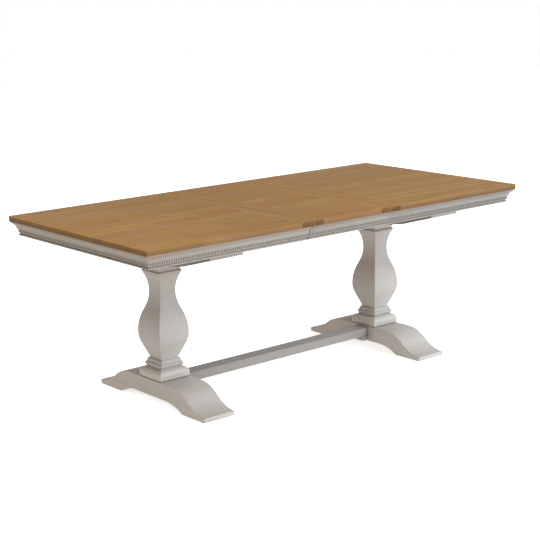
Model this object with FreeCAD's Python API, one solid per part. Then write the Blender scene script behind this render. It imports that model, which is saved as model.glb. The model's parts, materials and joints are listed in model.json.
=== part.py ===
import FreeCAD, Part
import math
import os

# Extending dining table on two baluster pedestals, shown with its centre leaf in.
# Millimetres. X runs along the table, Y across it, Z up. The origin is on the floor
# under the middle of the top. Left is the end at minus X and front is minus Y.
#
# The base is one rigid frame: two bracket feet, a stretcher, two square balusters on
# plinths, two tapered bearers and a pair of grooved slide rails. Each half of the oak
# top hangs on two tongued runners in those rails. The leaf drops between the halves
# onto pegs, and lifts straight out.

Vector = FreeCAD.Vector
os.makedirs("parts", exist_ok=True)

# Whole table
table_length = 2110.0
table_width = 980.0
table_height = 780.0
leaf_length = 450.0
seam_gap = 0.8
pedestal_spacing = 1256.0

# Oak top
top_thickness = 25.0
breadboard_width = 57.0
corner_radius = 9.0
edge_round = 4.0
under_bevel = 2.5
seam_bevel = 1.2
tongue_thickness = 8.0
tongue_depth = 14.0
tongue_stop = 40.0
joint_clearance = 0.2

# Cornice, from its top fillet down to its bottom fillet
cornice_inset = 6.0
cornice_thickness = 42.0
top_fillet_height = 5.0
cove_ledge = 1.5
cove_height = 20.0
cove_depth = 9.5
step_height = 5.0
band_recess = 9.0
band_height = 16.0
flare_height = 6.0
flare_reach = 5.0
bottom_fillet_height = 6.0

# Dentil strips that fill the band
dentil_pitch = 12.0
dentil_slot = 5.4
dentil_depth = 4.0
dentil_web = 1.5

# Corner blocks and leaf blocks
corner_block_leg = 70.0
corner_block_height = 36.0
leaf_block_width = 24.0
leaf_block_length = 60.0
leaf_block_margin = 88.0

# Slides
rail_spread = 300.0
rail_width = 32.0
rail_height = 45.0
rail_top_clearance = 0.5
groove_height = 12.0
groove_depth = 10.0
slide_clearance = 0.4
runner_width = 26.0
runner_seam_margin = 14.0
stop_length = 40.0
stop_height = 18.0
half_travel = 60.0
spreader_width = 70.0
spreader_height = 28.0
spreader_count = 3

# Leaf pegs
peg_width = 24.0
peg_thickness = 8.0
peg_length = 32.0
peg_clearance = 0.4
peg_count = 3
peg_end_margin = 140.0

# Bearers
bearer_width = 168.0
bearer_depth = 112.0
bearer_end_height = 24.5
bearer_end_gap = 12.0

# Baluster
neck_half = 39.8
belly_half = 76.5
capital_plate_half = 80.0
capital_plate_height = 5.0
capital_cove_height = 21.0
capital_fillet_half = 56.0
capital_fillet_height = 6.0
capital_bead_half = 61.0
capital_bead_height = 10.0
shoulder_half = 57.0
shoulder_height = 7.0
waist_half = 42.4
waist_curve_height = 19.0
waist_curve_half = 52.0
base_bead_half = 58.5
base_bead_height = 15.0
base_fillet_half = 54.0
base_fillet_height = 6.0
# The long curve runs from the waist up to the shoulder. The heights of its belly and
# its neck are shares of that run, and the bend share splits the ogee between them. The
# round share sets the arc under the belly: at 1 it would reach down to the waist with
# no straight flank
belly_round_share = 0.674
belly_height_share = 0.305
neck_height_share = 0.794
belly_bend_share = 0.57

# Plinth
plinth_half = 76.0
plinth_height = 45.0
plinth_tuck = 6.0
plinth_tuck_height = 9.0
plinth_band_height = 8.0
plinth_top_half = 56.0
plinth_shoulder_share = 0.70

# Feet
foot_length = 730.0
foot_width = 158.0
foot_height = 101.0
foot_crown = 300.0
toe_thickness = 19.0
pad_length = 148.0
arch_rise = 31.0
arch_flat = 210.0
glide_length = 30.0
glide_width = 24.0
glide_thickness = 2.0
glide_inset = 34.0

# Stretcher
stretcher_width = 70.0
stretcher_height = 40.0
stretcher_drop = 4.0
tenon_length = 18.0
tenon_shoulder = 8.0
stretcher_bevel = 2.0
cleat_length = 28.0
cleat_height = 24.0
cleat_width = 58.0
plate_length = 52.0
plate_width = 34.0
plate_thickness = 4.0

# Fasteners. Small round hardware and its holes are drawn with flat sides, which keeps
# the model light. Only the plinths' bores stay round
rod_sides = 8
screw_sides = 6
rod_radius = 5.0
rod_bore_clearance = 0.6
rod_end = 3.0
nut_flats = 17.0
nut_sides = 6
nut_height = 8.0
washer_radius = 12.0
washer_thickness = 2.0
recess_radius = 15.0
recess_depth = 15.0
screw_radius = 2.2
screw_head_radius = 4.6
screw_head_height = 3.0
screw_bite = 16.0
end_screw_shares = (0.25, 0.75)
corner_screw_share = 0.25
bolt_radius = 3.5
bolt_head_radius = 7.0
bolt_head_height = 5.0
bolt_bite = 30.0

# Places that follow from the sizes above
half_length = table_length / 2
half_width = table_width / 2
half_leaf = leaf_length / 2
pedestal_x = pedestal_spacing / 2
top_underside = table_height - top_thickness
cornice_height = (top_fillet_height + cove_height + step_height + band_height
                  + flare_height + bottom_fillet_height)
cornice_bottom = top_underside - cornice_height
cornice_back = cornice_inset + cornice_thickness
step_inset = cornice_inset + cove_ledge + cove_depth
band_inset = step_inset + band_recess
dentil_face_inset = band_inset - dentil_web - dentil_depth
band_top = top_underside - top_fillet_height - cove_height - step_height
seam_x = half_leaf + seam_gap
rail_top = top_underside - rail_top_clearance
rail_bottom = rail_top - rail_height
rail_inner_y = rail_spread / 2
rail_outer_y = rail_inner_y + rail_width
rail_end_x = pedestal_x + bearer_width / 2
groove_middle = rail_bottom + rail_height / 2
bearer_top = rail_bottom
bearer_bottom = bearer_top - bearer_depth
bearer_half_length = half_width - cornice_back - bearer_end_gap
foot_bottom = glide_thickness
foot_top = foot_bottom + foot_height
plinth_top = foot_top + plinth_height
stretcher_top = foot_top - stretcher_drop
stretcher_bottom = stretcher_top - stretcher_height
peg_height = top_underside + top_thickness / 2
mirror_point = Vector(0, 0, 0)
mirror_x = Vector(1, 0, 0)
mirror_y = Vector(0, 1, 0)

pieces = {}


def box(x_low, x_high, y_low, y_high, z_low, z_high):
    corner = Vector(x_low, y_low, z_low)
    return Part.makeBox(x_high - x_low, y_high - y_low, z_high - z_low, corner)


def line(start, end):
    return Part.LineSegment(start, end).toShape()


def arc(start, middle, end):
    return Part.Arc(start, middle, end).toShape()


def polygon_prism(points, travel):
    """A prism: a closed polygon of points, pushed along the travel vector."""
    wire = Part.makePolygon(list(points) + [points[0]])
    return Part.Face(wire).extrude(travel)


def ring_of_points(radius, sides, centre):
    """The corners of a level polygon round a point, all at one radius."""
    turns = [2 * math.pi * number / sides for number in range(sides)]
    return [centre + Vector(radius * math.cos(turn), radius * math.sin(turn), 0) for turn in turns]


def rod_along_z(radius, x, y, z_low, z_high):
    corners = ring_of_points(radius, rod_sides, Vector(x, y, z_low))
    return polygon_prism(corners, Vector(0, 0, z_high - z_low))


def curved_prism(edges, travel):
    return Part.Face(Part.Wire(edges)).extrude(travel)


def swapped_left_right(shape):
    return shape.mirror(mirror_point, mirror_x)


def swapped_front_back(shape):
    return shape.mirror(mirror_point, mirror_y)


def keep(name, *solids):
    pieces[name] = list(solids)


def keep_both_ends(name, *solids):
    """Keep a piece of the left end, and its mirror image at the right end."""
    keep("left_" + name, *solids)
    keep("right_" + name, *[swapped_left_right(solid) for solid in solids])


def near(value, target):
    return abs(value - target) < edge_round / 1000


# The oak top


def board_blank(x_low, x_high, free_end):
    """One section of the top with its eased edges, before it is split into boards."""
    blank = box(x_low, x_high, -half_width, half_width, top_underside, table_height)
    if free_end:
        uprights = [edge for edge in blank.Edges
                    if near(edge.CenterOfMass.x, x_low) and near(edge.BoundBox.ZLength, top_thickness)]
        blank = blank.makeFillet(corner_radius, uprights)

    def across_seam(edge):
        straight = near(edge.BoundBox.XLength, 0)
        at_seam = near(edge.CenterOfMass.x, x_high) or (not free_end and near(edge.CenterOfMass.x, x_low))
        return straight and at_seam

    def on_rim(edge, height):
        flat = near(edge.BoundBox.ZLength, 0) and near(edge.CenterOfMass.z, height)
        return flat and not across_seam(edge)

    blank = blank.makeChamfer(under_bevel, [edge for edge in blank.Edges if on_rim(edge, top_underside)])
    blank = blank.makeFillet(edge_round, [edge for edge in blank.Edges if on_rim(edge, table_height)])

    def on_seam(edge):
        return across_seam(edge) and near(edge.CenterOfMass.z, table_height)

    return blank.makeChamfer(seam_bevel, [edge for edge in blank.Edges if on_seam(edge)])


def tongue(x_low, x_high, clearance):
    """The tongue that joins the planks to a breadboard strip, stopped short of the edges."""
    middle = top_underside + top_thickness / 2
    reach = half_width - tongue_stop + clearance
    half_thick = tongue_thickness / 2 + clearance
    return box(x_low, x_high, -reach, reach, middle - half_thick, middle + half_thick)


def slice_of(blank, x_low, x_high):
    return blank.common(box(x_low, x_high, -table_width, table_width, 0, table_height * 2))


def split_into_boards(blank, x_low, x_high):
    """Cut a blank into its planked panel and the two cross-grain strips."""
    left_joint = x_low + breadboard_width
    right_joint = x_high - breadboard_width
    panel = slice_of(blank, left_joint, right_joint)
    panel = panel.fuse(tongue(left_joint - tongue_depth, right_joint + tongue_depth, 0))
    panel = panel.removeSplitter()
    socket_depth = tongue_depth + joint_clearance
    left_strip = slice_of(blank, x_low, left_joint)
    left_strip = left_strip.cut(tongue(left_joint - socket_depth, left_joint, joint_clearance))
    right_strip = slice_of(blank, right_joint, x_high)
    right_strip = right_strip.cut(tongue(right_joint, right_joint + socket_depth, joint_clearance))
    return panel, left_strip, right_strip


def peg_places():
    reach = half_width - peg_end_margin
    return [-reach + 2 * reach * number / (peg_count - 1) for number in range(peg_count)]


def left_half_pegs():
    """Flat pegs in the seam edge of the left half; their free ends carry the leaf."""
    start = -seam_x - peg_length / 2
    return [box(start, start + peg_length, y - peg_width / 2, y + peg_width / 2,
                peg_height - peg_thickness / 2, peg_height + peg_thickness / 2) for y in peg_places()]


def leaf_peg_slots(side):
    """Slots under the leaf's edge, open downwards, so that the leaf lifts off the pegs."""
    reach = peg_length / 2 + peg_clearance
    half_width_across = peg_width / 2 + peg_clearance
    slot_top = peg_height + peg_thickness / 2 + peg_clearance
    x_low = -seam_x if side < 0 else seam_x - reach
    return [box(x_low, x_low + reach, y - half_width_across, y + half_width_across,
                top_underside - peg_thickness, slot_top) for y in peg_places()]


def make_oak_top():
    blank = board_blank(-half_length, -seam_x, True)
    panel, outer_strip, inner_strip = split_into_boards(blank, -half_length, -seam_x)
    pegs = left_half_pegs()
    inner_strip = inner_strip.cut(pegs)
    keep_both_ends("top_panel", panel)
    keep_both_ends("outer_breadboard", outer_strip)
    keep_both_ends("inner_breadboard", inner_strip)
    keep_both_ends("leaf_pegs", *pegs)

    blank = board_blank(-half_leaf, half_leaf, False)
    panel, left_strip, right_strip = split_into_boards(blank, -half_leaf, half_leaf)
    keep("leaf_panel", panel)
    keep("leaf_left_breadboard", left_strip.cut(leaf_peg_slots(-1)))
    keep("leaf_right_breadboard", right_strip.cut(leaf_peg_slots(1)))


# The cornice: moulded aprons with a dentil strip let into each


def cornice_edges(place):
    """The moulding's outline. place turns an inset and a drop into a point in space."""
    fillet_foot = top_fillet_height
    cove_foot = fillet_foot + cove_height
    step_foot = cove_foot + step_height
    band_foot = step_foot + band_height
    flare_foot = band_foot + flare_height
    cove_start = cornice_inset + cove_ledge
    flare_tip = band_inset - flare_reach
    hollow = 1 - math.sqrt(0.5)
    cove_middle = place(cove_start + cove_depth * (1 - hollow), fillet_foot + cove_height * hollow)
    flare_middle = place(band_inset - flare_reach * hollow, band_foot + flare_height * (1 - hollow))
    top_outer = place(cornice_inset, 0)
    fillet_low = place(cornice_inset, fillet_foot)
    ledge = place(cove_start, fillet_foot)
    cove_low = place(step_inset, cove_foot)
    step_low = place(step_inset, step_foot)
    band_high = place(band_inset, step_foot)
    band_low = place(band_inset, band_foot)
    flare_low = place(flare_tip, flare_foot)
    bottom_outer = place(flare_tip, cornice_height)
    bottom_back = place(cornice_back, cornice_height)
    top_back = place(cornice_back, 0)
    return [line(top_outer, fillet_low), line(fillet_low, ledge), arc(ledge, cove_middle, cove_low),
            line(cove_low, step_low), line(step_low, band_high), line(band_high, band_low),
            arc(band_low, flare_middle, flare_low), line(flare_low, bottom_outer),
            line(bottom_outer, bottom_back), line(bottom_back, top_back), line(top_back, top_outer)]


def mitre_plan(points):
    """A tall prism over a plan outline, which trims a moulding to its mitres."""
    low = [Vector(x, y, cornice_bottom - cornice_height) for x, y in points]
    return polygon_prism(low, Vector(0, 0, table_height))


def front_apron(x_low, x_high, mitred):
    edges = cornice_edges(lambda inset, drop: Vector(x_low, -half_width + inset, top_underside - drop))
    bar = curved_prism(edges, Vector(x_high - x_low, 0, 0))
    if mitred:
        plan = [(x_low, -half_width), (x_high, -half_width), (x_high, -half_width + cornice_back),
                (x_low + cornice_back, -half_width + cornice_back)]
        bar = bar.common(mitre_plan(plan))
    return bar


def end_apron():
    edges = cornice_edges(lambda inset, drop: Vector(-half_length + inset, -half_width, top_underside - drop))
    bar = curved_prism(edges, Vector(0, table_width, 0))
    plan = [(-half_length, -half_width), (-half_length + cornice_back, -half_width + cornice_back),
            (-half_length + cornice_back, half_width - cornice_back), (-half_length, half_width)]
    return bar.common(mitre_plan(plan))


def dentil_strip(place, start, end, start_mitred, end_mitred):
    """A comb-shaped strip of dentils. place turns a run along the side and an inset
    into a point; a mitred end follows the line where the two are equal."""
    face = dentil_face_inset
    back = band_inset
    root = band_inset - dentil_web
    face_start = start + (face if start_mitred else 0)
    face_end = end - (face if end_mitred else 0)
    run = face_end - face_start
    count = int((run - dentil_slot * 2) / dentil_pitch)
    margin = (run - (count - 1) * dentil_pitch - dentil_slot) / 2
    points = [place(face_start, face)]
    for number in range(count):
        slot_start = face_start + margin + number * dentil_pitch
        slot_end = slot_start + dentil_slot
        points += [place(slot_start, face), place(slot_start, root)]
        points += [place(slot_end, root), place(slot_end, face)]
    points.append(place(face_end, face))
    points.append(place(end - (back if end_mitred else 0), back))
    points.append(place(start + (back if start_mitred else 0), back))
    return polygon_prism(points, Vector(0, 0, -band_height))


def make_cornice():
    front = front_apron(-half_length, -seam_x, True)
    front_dentils = dentil_strip(lambda run, inset: Vector(-half_length + run, -half_width + inset, band_top),
                                 0, half_length - seam_x, True, False)
    end_dentils = dentil_strip(lambda run, inset: Vector(-half_length + inset, -half_width + run, band_top),
                               0, table_width, True, True)
    keep_both_ends("front_apron", front)
    keep_both_ends("back_apron", swapped_front_back(front))
    keep_both_ends("end_apron", end_apron())
    keep_both_ends("front_dentils", front_dentils)
    keep_both_ends("back_dentils", swapped_front_back(front_dentils))
    keep_both_ends("end_dentils", end_dentils)

    leaf_front = front_apron(-half_leaf, half_leaf, False)
    leaf_dentils = dentil_strip(lambda run, inset: Vector(-half_leaf + run, -half_width + inset, band_top),
                                0, leaf_length, False, False)
    keep("leaf_front_apron", leaf_front)
    keep("leaf_back_apron", swapped_front_back(leaf_front))
    keep("leaf_front_dentils", leaf_dentils)
    keep("leaf_back_dentils", swapped_front_back(leaf_dentils))
    keep("leaf_blocks", *leaf_blocks())


def leaf_blocks():
    """Glue blocks that hold the leaf's aprons square to its boards."""
    inner = half_width - cornice_back
    x_high = half_leaf - leaf_block_margin
    front = box(x_high - leaf_block_length, x_high, -inner, -inner + leaf_block_width,
                top_underside - leaf_block_width, top_underside)
    blocks = [front, swapped_front_back(front)]
    return blocks + [swapped_left_right(block) for block in blocks]


# Screws and bolts, each with its head at its seat and its shank pointing up or along


def screw(seat, depth):
    """A pan-head screw, sunk flush and driven upwards from its seat."""
    neck = seat + Vector(0, 0, screw_head_height)
    head = polygon_prism(ring_of_points(screw_head_radius, screw_sides, seat), neck - seat)
    shank_run = Vector(0, 0, depth - screw_head_height)
    return head.fuse(polygon_prism(ring_of_points(screw_radius, screw_sides, neck), shank_run))


# Slides: grooved rails on the base, tongued runners under each half


def slide_rail():
    """The front rail: a bar with a groove along its outer face."""
    half_groove = groove_height / 2
    groove_bottom = rail_outer_y - groove_depth
    corners = [(rail_inner_y, rail_bottom), (rail_outer_y, rail_bottom),
               (rail_outer_y, groove_middle - half_groove), (groove_bottom, groove_middle - half_groove),
               (groove_bottom, groove_middle + half_groove), (rail_outer_y, groove_middle + half_groove),
               (rail_outer_y, rail_top), (rail_inner_y, rail_top)]
    points = [Vector(-rail_end_x, -y, z) for y, z in corners]
    return polygon_prism(points, Vector(2 * rail_end_x, 0, 0))


def front_runner():
    """The runner under the left half: its tongue rides in the rail's groove."""
    inner_y = rail_outer_y + slide_clearance
    outer_y = inner_y + runner_width
    tip_y = rail_outer_y - groove_depth + slide_clearance
    half_tongue = groove_height / 2 - slide_clearance
    low = rail_bottom + slide_clearance
    corners = [(inner_y, low), (outer_y, low), (outer_y, top_underside), (inner_y, top_underside),
               (inner_y, groove_middle + half_tongue), (tip_y, groove_middle + half_tongue),
               (tip_y, groove_middle - half_tongue), (inner_y, groove_middle - half_tongue)]
    x_low = -half_length + cornice_back
    x_high = -seam_x - runner_seam_margin
    points = [Vector(x_low, -y, z) for y, z in corners]
    return polygon_prism(points, Vector(x_high - x_low, 0, 0))


def front_runner_stop():
    """A block under the runner, which meets the bearer at the end of the travel."""
    inner_y = rail_outer_y + slide_clearance
    x_low = -pedestal_x + bearer_width / 2 + half_travel + slide_clearance
    top = rail_bottom + slide_clearance
    return box(x_low, x_low + stop_length, -inner_y - runner_width, -inner_y, top - stop_height, top)


def runner_screws():
    """Screws up through each runner into the oak, and through each stop into its runner."""
    middle_y = rail_outer_y + slide_clearance + runner_width / 2
    x_low = -half_length + cornice_back
    x_high = -seam_x - runner_seam_margin
    low = rail_bottom + slide_clearance
    depth = top_underside - low + screw_bite
    places = [x_low + (x_high - x_low) * share for share in end_screw_shares]
    screws = [screw(Vector(x, -middle_y, low), depth) for x in places]
    stop_x = -pedestal_x + bearer_width / 2 + half_travel + slide_clearance + stop_length / 2
    seat = Vector(stop_x, -middle_y, low - stop_height)
    screws.append(screw(seat, stop_height + screw_bite))
    return screws + [swapped_front_back(piece) for piece in screws]


def corner_block():
    """A triangular block in the front corner of the left half."""
    x_low = -half_length + cornice_back
    y_low = -half_width + cornice_back
    z_low = top_underside - corner_block_height
    points = [Vector(x_low, y_low, z_low), Vector(x_low + corner_block_leg, y_low, z_low),
              Vector(x_low, y_low + corner_block_leg, z_low)]
    return polygon_prism(points, Vector(0, 0, corner_block_height))


def corner_screws():
    place = corner_block_leg * corner_screw_share
    seat = Vector(-half_length + cornice_back + place, -half_width + cornice_back + place,
                  top_underside - corner_block_height)
    front = screw(seat, corner_block_height + screw_bite)
    return [front, swapped_front_back(front)]


def make_slides():
    rail = slide_rail()
    runner = front_runner()
    stop = front_runner_stop()
    block = corner_block()
    screws = runner_screws() + corner_screws()
    blocks = [block, swapped_front_back(block)]
    stops = [stop, swapped_front_back(stop)]
    keep_both_ends("front_runner", runner.cut(screws))
    keep_both_ends("back_runner", swapped_front_back(runner).cut(screws))
    keep_both_ends("runner_stops", *[piece.cut(screws) for piece in stops])
    keep_both_ends("corner_blocks", *[piece.cut(screws) for piece in blocks])
    keep_both_ends("top_screws", *screws)
    for end, mirrored in (("left", False), ("right", True)):
        tools = [swapped_left_right(piece) for piece in screws] if mirrored else screws
        name = end + "_top_panel"
        pieces[name] = [pieces[name][0].cut(tools)]
        name = end + "_outer_breadboard"
        pieces[name] = [pieces[name][0].cut(tools)]
    keep("front_rail", rail)
    keep("back_rail", swapped_front_back(rail))
    keep("rail_spreaders", *rail_spreaders())


def rail_spreaders():
    """Cross boards that hold the two rails parallel."""
    middle = rail_bottom + rail_height / 2
    clear = pedestal_x - bearer_width / 2 - spreader_width
    boards = []
    for number in range(spreader_count):
        x = -clear + 2 * clear * number / (spreader_count - 1)
        boards.append(box(x - spreader_width / 2, x + spreader_width / 2, -rail_inner_y, rail_inner_y,
                          middle - spreader_height / 2, middle + spreader_height / 2))
    return boards


# Pedestals


def square_solid(edges_in_xz, centre_x, reach):
    """A square-plan solid with the same outline on all four sides: the outline is pushed
    through along Y, then along X, and what both prisms share is kept."""
    face = Part.Face(Part.Wire(edges_in_xz))
    through_y = face.copy()
    through_y.translate(Vector(0, -reach, 0))
    through_y = through_y.extrude(Vector(0, 2 * reach, 0))
    through_x = through_y.copy()
    through_x.rotate(Vector(0, 0, 0), Vector(0, 0, 1), 90)
    solid = through_y.common(through_x).removeSplitter()
    solid.translate(Vector(centre_x, 0, 0))
    return solid


def both_sides(side_edges, low_half, low_z, high_half, high_z):
    """Close a right-hand outline with its mirror image and flat ends."""
    edges = list(side_edges) + [edge.mirror(mirror_point, mirror_x) for edge in side_edges]
    edges.append(line(Vector(-low_half, 0, low_z), Vector(low_half, 0, low_z)))
    edges.append(line(Vector(-high_half, 0, high_z), Vector(high_half, 0, high_z)))
    return Part.sortEdges(edges)[0]


def baluster_curve(waist, shoulder):
    """The long curve of the baluster: a straight flank that runs tangent into a tight
    round below the belly, then an ogee of two tangent arcs up to the neck, whose hollow
    carries on to the shoulder. Gives its edges and its upper end."""
    run = shoulder - waist
    belly = waist + run * belly_height_share
    neck = waist + run * neck_height_share
    bulge = belly_half - waist_half
    belly_low_radius = belly_round_share * (bulge ** 2 + (belly - waist) ** 2) / (2 * bulge)
    low_centre_x = belly_half - belly_low_radius
    to_centre = math.hypot(low_centre_x - waist_half, belly - waist)
    centre_angle = math.atan2(belly - waist, low_centre_x - waist_half)
    flank_angle = centre_angle - math.asin(belly_low_radius / to_centre)
    flank_length = math.sqrt(to_centre ** 2 - belly_low_radius ** 2)
    sweep = 2 * math.atan((belly_half - neck_half) / (neck - belly))
    both_radii = (neck - belly) / math.sin(sweep)
    belly_radius = both_radii * belly_bend_share
    neck_radius = both_radii - belly_radius

    def at(half, z):
        return Vector(half, 0, z)

    def on_circle(centre_x, centre_z, radius, angle):
        return at(centre_x + radius * math.cos(angle), centre_z + radius * math.sin(angle))

    foot_of_curve = at(waist_half, waist)
    flank_end = at(waist_half + flank_length * math.cos(flank_angle),
                   waist + flank_length * math.sin(flank_angle))
    flank_turn = flank_angle - math.pi / 2
    widest = at(belly_half, belly)
    belly_centre_x = belly_half - belly_radius
    neck_centre_x = neck_half + neck_radius
    shoulder_turn = math.asin((shoulder - neck) / neck_radius)
    bend = on_circle(belly_centre_x, belly, belly_radius, sweep)
    narrowest = at(neck_half, neck)
    head_of_curve = on_circle(neck_centre_x, neck, neck_radius, math.pi - shoulder_turn)
    edges = [line(foot_of_curve, flank_end),
             arc(flank_end, on_circle(low_centre_x, belly, belly_low_radius, flank_turn / 2), widest),
             arc(widest, on_circle(belly_centre_x, belly, belly_radius, sweep / 2), bend),
             arc(bend, on_circle(neck_centre_x, neck, neck_radius, math.pi + sweep / 2), narrowest),
             arc(narrowest, on_circle(neck_centre_x, neck, neck_radius, math.pi - shoulder_turn / 2),
                 head_of_curve)]
    return edges, head_of_curve


def baluster_side():
    """The right-hand outline of the baluster, from the plinth up to the bearer."""
    fillet_top = plinth_top + base_fillet_height
    bead_top = fillet_top + base_bead_height
    waist = bead_top + waist_curve_height
    plate_bottom = bearer_bottom - capital_plate_height
    cove_bottom = plate_bottom - capital_cove_height
    cap_fillet_bottom = cove_bottom - capital_fillet_height
    cap_bead_bottom = cap_fillet_bottom - capital_bead_height
    shoulder_bottom = cap_bead_bottom - shoulder_height

    def at(half, z):
        return Vector(half, 0, z)

    long_curve, head_of_curve = baluster_curve(waist, shoulder_bottom)
    foot_of_curve = at(waist_half, waist)
    hollow = 1 - math.sqrt(0.5)
    waist_bulge = at(foot_of_curve.x + (waist_curve_half - foot_of_curve.x) * (1 - hollow),
                     bead_top + waist_curve_height * (1 - hollow))
    cove_end = capital_fillet_half + capital_cove_height
    cove_hollow = at(capital_fillet_half + capital_cove_height * hollow,
                     cove_bottom + capital_cove_height * (1 - hollow))
    bead_mid = (fillet_top + bead_top) / 2
    cap_bead_mid = (cap_bead_bottom + cap_fillet_bottom) / 2
    edges = [line(at(base_fillet_half, plinth_top), at(base_fillet_half, fillet_top)),
             arc(at(base_fillet_half, fillet_top), at(base_bead_half, bead_mid),
                 at(base_fillet_half, bead_top)),
             line(at(base_fillet_half, bead_top), at(waist_curve_half, bead_top)),
             arc(at(waist_curve_half, bead_top), waist_bulge, foot_of_curve),
             *long_curve,
             line(head_of_curve, at(shoulder_half, shoulder_bottom)),
             line(at(shoulder_half, shoulder_bottom), at(shoulder_half, cap_bead_bottom)),
             arc(at(shoulder_half, cap_bead_bottom), at(capital_bead_half, cap_bead_mid),
                 at(capital_fillet_half, cap_fillet_bottom)),
             line(at(capital_fillet_half, cap_fillet_bottom), at(capital_fillet_half, cove_bottom)),
             arc(at(capital_fillet_half, cove_bottom), cove_hollow, at(cove_end, plate_bottom)),
             line(at(cove_end, plate_bottom), at(capital_plate_half, plate_bottom)),
             line(at(capital_plate_half, plate_bottom), at(capital_plate_half, bearer_bottom))]
    return edges


def baluster():
    outline = both_sides(baluster_side(), base_fillet_half, plinth_top, capital_plate_half, bearer_bottom)
    solid = square_solid(outline, -pedestal_x, belly_half * 2)
    bore = rod_along_z(rod_radius + rod_bore_clearance, -pedestal_x, 0, plinth_top, bearer_bottom)
    return solid.cut(bore)


def plinth():
    """The cushion-shaped block between the foot and the baluster."""
    tuck_top = foot_top + plinth_tuck_height
    band_high = tuck_top + plinth_band_height
    rise = plinth_top - band_high
    lean = plinth_half - plinth_top_half

    def at(half, z):
        return Vector(half, 0, z)

    hollow = 1 - math.sqrt(0.5)
    tuck_middle = at(plinth_half - plinth_tuck * hollow, foot_top + plinth_tuck_height * hollow)
    shoulder = at(plinth_top_half + lean * plinth_shoulder_share, band_high + rise * plinth_shoulder_share)
    side = [arc(at(plinth_half - plinth_tuck, foot_top), tuck_middle, at(plinth_half, tuck_top)),
            line(at(plinth_half, tuck_top), at(plinth_half, band_high)),
            arc(at(plinth_half, band_high), shoulder, at(plinth_top_half, plinth_top))]
    outline = both_sides(side, plinth_half - plinth_tuck, foot_top, plinth_top_half, plinth_top)
    solid = square_solid(outline, -pedestal_x, plinth_half * 2)
    bore = Part.makeCylinder(rod_radius + rod_bore_clearance, plinth_height, Vector(-pedestal_x, 0, foot_top))
    return solid.cut(bore)


def bearer():
    """The tapered cross bearer that carries the rails."""
    end_bottom = bearer_top - bearer_end_height
    flat = bearer_width / 2
    x_low = -pedestal_x - bearer_width / 2
    corners = [(-flat, bearer_bottom), (flat, bearer_bottom), (bearer_half_length, end_bottom),
               (bearer_half_length, bearer_top), (-bearer_half_length, bearer_top),
               (-bearer_half_length, end_bottom)]
    points = [Vector(x_low, y, z) for y, z in corners]
    solid = polygon_prism(points, Vector(bearer_width, 0, 0))
    bore = rod_along_z(rod_radius + rod_bore_clearance, -pedestal_x, 0, bearer_bottom, bearer_top)
    recess = rod_along_z(recess_radius, -pedestal_x, 0, bearer_top - recess_depth, bearer_top)
    return solid.cut([bore, recess] + rail_bolts())


def rail_bolts():
    """Bolts up through the left bearer into the rails, one for each rail."""
    middle_y = rail_inner_y + rail_width / 2
    slope = (bearer_depth - bearer_end_height) / (bearer_half_length - bearer_width / 2)
    under = bearer_bottom + slope * (middle_y - bearer_width / 2)
    seat_z = under + bolt_head_radius * slope + bolt_head_height
    bolts = []
    for y in (-middle_y, middle_y):
        shank = rod_along_z(bolt_radius, -pedestal_x, y, seat_z, rail_bottom + bolt_bite)
        head = rod_along_z(bolt_head_radius, -pedestal_x, y, seat_z - bolt_head_height, seat_z)
        bolts.append(shank.fuse(head).removeSplitter())
    return bolts


def bearer_head_sockets():
    """Room below each bolt head, so that the head can be put in from underneath."""
    return [rod_along_z(bolt_head_radius, -pedestal_x, y, foot_top, rail_bolts()[0].BoundBox.ZMin)
            for y in (-rail_inner_y - rail_width / 2, rail_inner_y + rail_width / 2)]


def foot():
    """A bracket foot: an ogee down to each toe, and an arch between two pads."""
    half = foot_length / 2
    crown = foot_crown / 2
    toe_top = foot_bottom + toe_thickness
    drop = foot_top - toe_top
    run = half - crown
    turn = 2 * math.atan2(drop, run)
    radius = run / (2 * math.sin(turn))
    arch_top = foot_bottom + arch_rise
    pad_inner = half - pad_length
    arch_half = arch_flat / 2
    arch_run = pad_inner - arch_half
    arch_radius = (arch_run ** 2 + arch_rise ** 2) / (2 * arch_rise)
    arch_turn = math.asin(arch_run / arch_radius)
    x_low = -pedestal_x - foot_width / 2

    def at(y, z):
        return Vector(x_low, y, z)

    def one_end(sign):
        knee = at(sign * (crown + radius * math.sin(turn / 2)), foot_top - radius * (1 - math.cos(turn / 2)))
        middle = at(sign * (crown + run / 2), foot_top - drop / 2)
        hollow = at(sign * (half - radius * math.sin(turn / 2)), toe_top + radius * (1 - math.cos(turn / 2)))
        arch_mid = at(sign * (arch_half + arch_radius * math.sin(arch_turn / 2)),
                      arch_top - arch_radius * (1 - math.cos(arch_turn / 2)))
        return [arc(at(sign * crown, foot_top), knee, middle), arc(middle, hollow, at(sign * half, toe_top)),
                line(at(sign * half, toe_top), at(sign * half, foot_bottom)),
                line(at(sign * half, foot_bottom), at(sign * pad_inner, foot_bottom)),
                arc(at(sign * pad_inner, foot_bottom), arch_mid, at(sign * arch_half, arch_top))]

    edges = one_end(1) + one_end(-1)
    edges.append(line(at(-crown, foot_top), at(crown, foot_top)))
    edges.append(line(at(-arch_half, arch_top), at(arch_half, arch_top)))
    solid = curved_prism(Part.sortEdges(edges)[0], Vector(foot_width, 0, 0))
    bore = rod_along_z(rod_radius + rod_bore_clearance, -pedestal_x, 0, arch_top, foot_top)
    recess = rod_along_z(recess_radius, -pedestal_x, 0, arch_top, arch_top + recess_depth)
    mortise = stretcher_tenon(joint_clearance)
    return solid.cut([bore, recess, mortise])


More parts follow.
